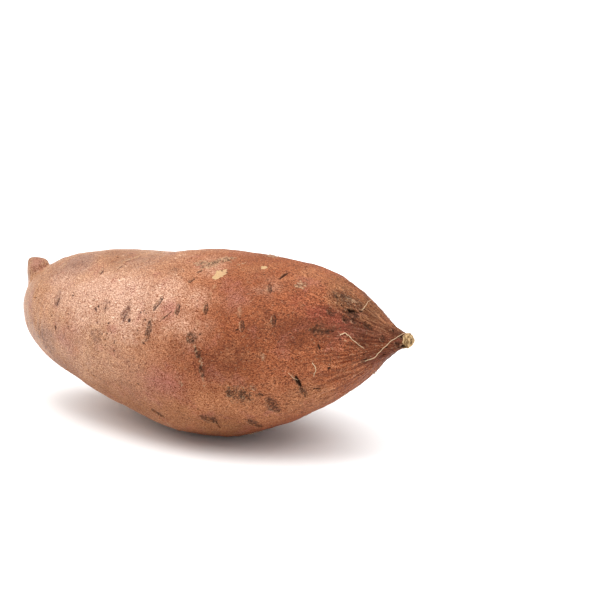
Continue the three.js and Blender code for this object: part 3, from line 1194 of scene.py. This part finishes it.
ROOTED = -0.5  # a rootlet starts this deep in the skin
THREAD_TAPER = 0.55  # how much thinner a thread is at its end, as a share
KNOT_SIZE = 0.22  # how much thicker it is at its knots, as a share
KNOT_PITCH = 2.3  # how fast its thickness comes and goes, in radians for each of its points
TIP_SEED = 31
TIP_CURLS = 34
TIP_SIDE_CURLS = 38
TIP_STRAYS = 9
CURL_POINTS = 6
TIP_SIDE_X = (81.9, 84.0)
TIP_CENTRE = (83.7, 0.0, 48.5)
TIP_RADIUS = 2.3
TIP_HOLE_TURN = 92  # the tip's fibres leave this side open
TIP_HOLE_REACH = 34
SIDE_RAY = 80.0  # rays at the skin start this far off the middle line
END_RAY = 20.0  # rays at the broken end start this far off it
END_RAY_REACH = 30.0


def hidden_rootlets(draw):
    """Short rootlets strewn over the far side, most of them near the root tip."""
    threads = []
    for _ in range(HIDDEN_ROOTLETS):
        x = 74 - abs(draw.gauss(0, 30))
        turn = draw.uniform(*HIDDEN_ROOTLET_TURNS)
        points = []
        for step in range(HIDDEN_ROOTLET_POINTS):
            points.append((x, turn, 0.15 if step else 0.0))
            x += draw.uniform(-1.0, 2.2)
            turn += draw.uniform(-2, 9)
        threads.append(Thread(points, draw.uniform(0.6, 0.9)))
    return threads


def kinked(points, kink, draw):
    """The points with two more between each two, pushed off the line."""
    result = [points[0]]
    for start, end in zip(points, points[1:]):
        for part in (draw.uniform(0.25, 0.4), draw.uniform(0.6, 0.75)):
            off = Vector([draw.uniform(-1, 1) for _ in range(3)]) * kink
            off -= off.project(end - start)
            result.append(start.lerp(end, part) + off)
        result.append(end)
    return result


def skin_point(tree, x, turn, lift):
    """The point on the skin at x and turn, lifted off it, in metres."""
    outward = outwards(turn)
    middle = Vector((x, 0, float(middle_height(x)))) * MM
    place, normal, _, _ = tree.ray_cast(middle + outward * (SIDE_RAY * MM), -outward)
    if place is None:
        place, normal = middle + outward * TIP_RADIUS * MM, outward
    return place + normal * lift * MM


def tubes(name, paths):
    """A mesh of tapered tubes along paths, each a list of points in metres and a thickness."""
    curve = bpy.data.curves.new(name, "CURVE")
    curve.dimensions = "3D"
    curve.bevel_depth = 0.5
    curve.bevel_resolution = 1
    curve.resolution_u = 5
    curve.use_fill_caps = True
    for points, thickness in paths:
        spline = curve.splines.new("NURBS")
        spline.points.add(len(points) - 1)
        for i, point in enumerate(points):
            tapered = 1 - THREAD_TAPER * i / (len(points) - 1)
            knotty = 1 + KNOT_SIZE * math.sin(i * KNOT_PITCH)
            spline.points[i].co = (*point, 1)
            spline.points[i].radius = thickness * tapered * knotty
        spline.use_endpoint_u = True
        spline.order_u = 3
    carrier = object_from(name + "_carrier", curve)
    bpy.context.view_layer.update()
    mesh = bpy.data.meshes.new_from_object(carrier)
    bpy.data.objects.remove(carrier)
    mesh.name = name
    mesh.polygons.foreach_set("use_smooth", [True] * len(mesh.polygons))
    return object_from(name, mesh)


def skin_tree():
    """The finished skin, ready to be hit by rays."""
    return BVHTree.FromObject(bpy.data.objects["skin"], bpy.context.evaluated_depsgraph_get())


def build_rootlets(settings):
    """The rootlets, which lie along the skin and lift off it at their ends."""
    tree = skin_tree()
    draw = random.Random(KINK_SEED)
    clear = settings.thickness * 0.25 / MM
    paths = []
    for thread in SEEN_ROOTLETS + hidden_rootlets(random.Random(HIDDEN_ROOTLET_SEED)):
        points = [skin_point(tree, x, turn, lift + clear) for x, turn, lift in thread.points]
        root_x, root_turn, _ = thread.points[0]
        root = skin_point(tree, root_x, root_turn, ROOTED)
        points = [root, *kinked(points, settings.kink, draw)]
        paths.append((points, settings.thickness * thread.thickness))
    return tubes("rootlets", paths)


def end_point(tree, turn, reach, rise):
    """A point on the tip's broken end: reach off its centre at a turn, risen off the skin."""
    outward = outwards(turn)
    off = (Vector(TIP_CENTRE) + outward * reach) * MM
    start = off + Vector((END_RAY * MM, 0, 0))
    place, normal, _, _ = tree.ray_cast(start, Vector((-1, 0, 0)), END_RAY_REACH * MM)
    if place is None:
        place, normal = off, outward
    return place / MM + normal * rise


def swept(draw, sweeps, rise, sunk, point_at):
    """The points of a fibre that comes out of the broken end, sweeps round it and goes back in."""
    turn = TIP_HOLE_TURN + draw.uniform(TIP_HOLE_REACH, 360 - TIP_HOLE_REACH)
    sweep = draw.choice((-1, 1)) * draw.uniform(*sweeps)
    points = []
    for step in range(CURL_POINTS):
        part = step / (CURL_POINTS - 1)
        lift = rise * math.sin(math.pi * part) * draw.uniform(0.4, 1.0) - sunk
        points.append(point_at(turn + sweep * part, lift))
    return points


def curl(tree, draw):
    """One fibre that curls on the tip's broken end, as points in millimetres."""
    reach = TIP_RADIUS * math.sqrt(draw.uniform(0.04, 1.0))

    def point_at(turn, lift):
        return end_point(tree, turn, reach * (1 + draw.uniform(-0.14, 0.18)), lift)

    return swept(draw, (40, 120), 0.5, 0.1, point_at)


def side_curl(tree, draw):
    """One fibre that curls round the side of the tip's broken end, as points in millimetres."""
    middle = draw.uniform(*TIP_SIDE_X)

    def point_at(turn, lift):
        return skin_point(tree, middle + draw.uniform(-0.45, 0.45), turn, lift) / MM

    return swept(draw, (25, 75), 0.42, 0.08, point_at)


def stray(tree, draw):
    """One fibre that stands out of the tip's edge, as points in millimetres."""
    turn = draw.uniform(0, 360)
    lean = draw.uniform(0.4, 1.6)
    twist = draw.uniform(-25, 25)
    return [
        end_point(tree, turn, TIP_RADIUS * 0.7, -0.3),
        end_point(tree, turn, TIP_RADIUS * 0.9, 0.2),
        end_point(tree, turn + twist, TIP_RADIUS, lean * 0.5),
        end_point(tree, turn + 2 * twist, TIP_RADIUS, lean),
    ]


# The tip's fibres: what makes one, how many, and their least and greatest share of the thickness.
TIP_BUNDLES = [
    (curl, TIP_CURLS, 0.8, 1.5),
    (side_curl, TIP_SIDE_CURLS, 0.7, 1.2),
    (stray, TIP_STRAYS, 0.4, 0.6),
]


def build_tip_fibres(settings):
    """Curled fibres on the root tip's broken end and round its sides, and strays at its edge."""
    draw = random.Random(TIP_SEED)
    tree = skin_tree()
    paths = []
    for make, count, thinnest, thickest in TIP_BUNDLES:
        for _ in range(count):
            thickness = settings.fibre_thickness * draw.uniform(thinnest, thickest)
            paths.append(([p * MM for p in make(tree, draw)], thickness))
    return tubes("root_tip_fibres", paths)


# Stage


BELLY_MIDDLE = (3.2, 0.0, 35.2)  # a point on the root's middle line
BELLY_PIXEL = (220, 343)  # where the photograph shows it
PICTURE_SIZE = 600
PIXEL_AT_BELLY = 0.39  # millimetres of the root in one pixel
CAMERA_AZIMUTH = 27
CAMERA_ELEVATION = 18
SENSOR_WIDTH = 36
FLOOR_SIZE = 16000
WORLD_BRIGHTNESS = 0.62


def direction(azimuth, elevation):
    """The unit vector towards an azimuth and elevation, with azimuth 0 on the -Y side."""
    a, e = math.radians(azimuth), math.radians(elevation)
    return Vector((math.sin(a) * math.cos(e), -math.cos(a) * math.cos(e), math.sin(e)))


def build_camera(settings):
    """A level camera without shift, which shows the belly's middle at its pixel."""
    back = direction(CAMERA_AZIMUTH, CAMERA_ELEVATION)
    right = Vector((0, 0, 1)).cross(back).normalized()
    up = back.cross(right)
    distance = settings.camera_distance / MM
    off_right = (BELLY_PIXEL[0] - PICTURE_SIZE / 2) * PIXEL_AT_BELLY
    off_down = (BELLY_PIXEL[1] - PICTURE_SIZE / 2) * PIXEL_AT_BELLY
    place = Vector(BELLY_MIDDLE) + back * distance - right * off_right + up * off_down
    data = bpy.data.cameras.new("camera")
    data.sensor_width = SENSOR_WIDTH
    data.lens = SENSOR_WIDTH * distance / (PICTURE_SIZE * PIXEL_AT_BELLY)
    data.clip_start = 0.05
    data.clip_end = 30
    camera = object_from("camera", data)
    camera.location = place * MM
    camera.rotation_euler = back.to_track_quat("Z", "Y").to_euler()
    bpy.context.scene.camera = camera


def build_floor(settings):
    """A wide pale floor."""
    bm = bmesh.new()
    bmesh.ops.create_grid(bm, x_segments=1, y_segments=1, size=FLOOR_SIZE / 2 * MM)
    mesh = bpy.data.meshes.new("floor")
    bm.to_mesh(mesh)
    bm.free()
    material, start, output = new_material("floor_pale")
    colour = (*settings.floor_colour, 1.0)
    finish_material(start, output, {"Base Color": colour, "Roughness": 0.9})
    mesh.materials.append(material)
    floor = object_from("floor", mesh)
    floor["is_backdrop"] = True


def build_light(name, azimuth, elevation, distance, size, power):
    """A square soft light that faces the root. Lengths are in millimetres."""
    data = bpy.data.lights.new(name, "AREA")
    data.shape = "SQUARE"
    data.size = size * MM
    data.energy = power
    towards = direction(azimuth, elevation)
    light = object_from(name, data)
    light.location = (Vector(BELLY_MIDDLE) + towards * distance) * MM
    light.rotation_euler = towards.to_track_quat("Z", "Y").to_euler()


def build_world(brightness):
    """Even white light from all round."""
    world = bpy.data.worlds.new("white_room")
    world.use_nodes = True
    background = world.node_tree.nodes["Background"]
    background.inputs["Color"].default_value = (1, 1, 1, 1)
    background.inputs["Strength"].default_value = brightness
    bpy.context.scene.world = world


# Operators


class MakeSkin(bpy.types.Operator):
    """Makes the skin from the CAD root, with its marks, and hides the CAD root."""

    bl_idname = "sweet_potato.make_skin"
    bl_label = "Make Skin"

    def execute(self, context):
        settings = context.scene.sweet_potato_skin
        skin = build_skin(settings)
        skin.data.materials.append(skin_material(settings))
        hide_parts(NODE)
        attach(skin, BODY)
        return {"FINISHED"}


class MakeRootlets(bpy.types.Operator):
    """Makes the rootlets that lie on the skin."""

    bl_idname = "sweet_potato.make_rootlets"
    bl_label = "Make Rootlets"

    def execute(self, context):
        settings = context.scene.sweet_potato_rootlets
        rootlets = build_rootlets(settings)
        rootlets.data.materials.append(fibre_material("dry_rootlet", settings.colour))
        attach(rootlets, BODY)
        return {"FINISHED"}


class MakeTipFibres(bpy.types.Operator):
    """Makes the fibres of the root tip's broken end."""

    bl_idname = "sweet_potato.make_tip_fibres"
    bl_label = "Make Tip Fibres"

    def execute(self, context):
        settings = context.scene.sweet_potato_rootlets
        fibres = build_tip_fibres(settings)
        fibres.data.materials.append(fibre_material("dry_tip_fibre", settings.fibre_colour))
        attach(fibres, BODY)
        return {"FINISHED"}


class MakeStage(bpy.types.Operator):
    """Makes the floor, the soft lights and the camera."""

    bl_idname = "sweet_potato.make_stage"
    bl_label = "Make Stage"

    def execute(self, context):
        settings = context.scene.sweet_potato_stage
        build_camera(settings)
        build_floor(settings)
        build_light("key_light", azimuth=-62, elevation=57, distance=1200, size=1000, power=11)
        build_light("top_light", azimuth=85, elevation=72, distance=1400, size=1700, power=26)
        build_world(WORLD_BRIGHTNESS)
        context.scene.view_settings.view_transform = "Standard"
        return {"FINISHED"}


class SweetPotatoPanel(bpy.types.Panel):
    """The sweet potato's pieces and settings, in the 3D view's sidebar."""

    bl_idname = "VIEW3D_PT_sweet_potato"
    bl_label = "Sweet Potato"
    bl_space_type = "VIEW_3D"
    bl_region_type = "UI"
    bl_category = "Sweet Potato"

    def draw(self, context):
        for operator, group in PANEL_ROWS:
            self.layout.operator(operator.bl_idname)
            settings = getattr(context.scene, group)
            for name in settings.bl_rna.properties.keys():
                if name not in ("rna_type", "name"):
                    self.layout.prop(settings, name)


PANEL_ROWS = [
    (MakeSkin, "sweet_potato_skin"),
    (MakeRootlets, "sweet_potato_rootlets"),
    (MakeTipFibres, "sweet_potato_rootlets"),
    (MakeStage, "sweet_potato_stage"),
]
SETTINGS = {
    "sweet_potato_skin": SkinSettings,
    "sweet_potato_rootlets": RootletSettings,
    "sweet_potato_stage": StageSettings,
}
CLASSES = [*SETTINGS.values(), MakeSkin, MakeRootlets, MakeTipFibres, MakeStage, SweetPotatoPanel]


def register():
    for cls in CLASSES:
        bpy.utils.register_class(cls)
    for name, group in SETTINGS.items():
        setattr(bpy.types.Scene, name, bpy.props.PointerProperty(type=group))


def unregister():
    for name in SETTINGS:
        delattr(bpy.types.Scene, name)
    for cls in reversed(CLASSES):
        bpy.utils.unregister_class(cls)


def main():
    register()
    bpy.ops.sweet_potato.make_stage()
    bpy.ops.sweet_potato.make_skin()
    bpy.ops.sweet_potato.make_rootlets()
    bpy.ops.sweet_potato.make_tip_fibres()
    [[list(corner) for corner in box] for box in (CAD_BOX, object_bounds())]


if __name__ == "__main__":
    main()
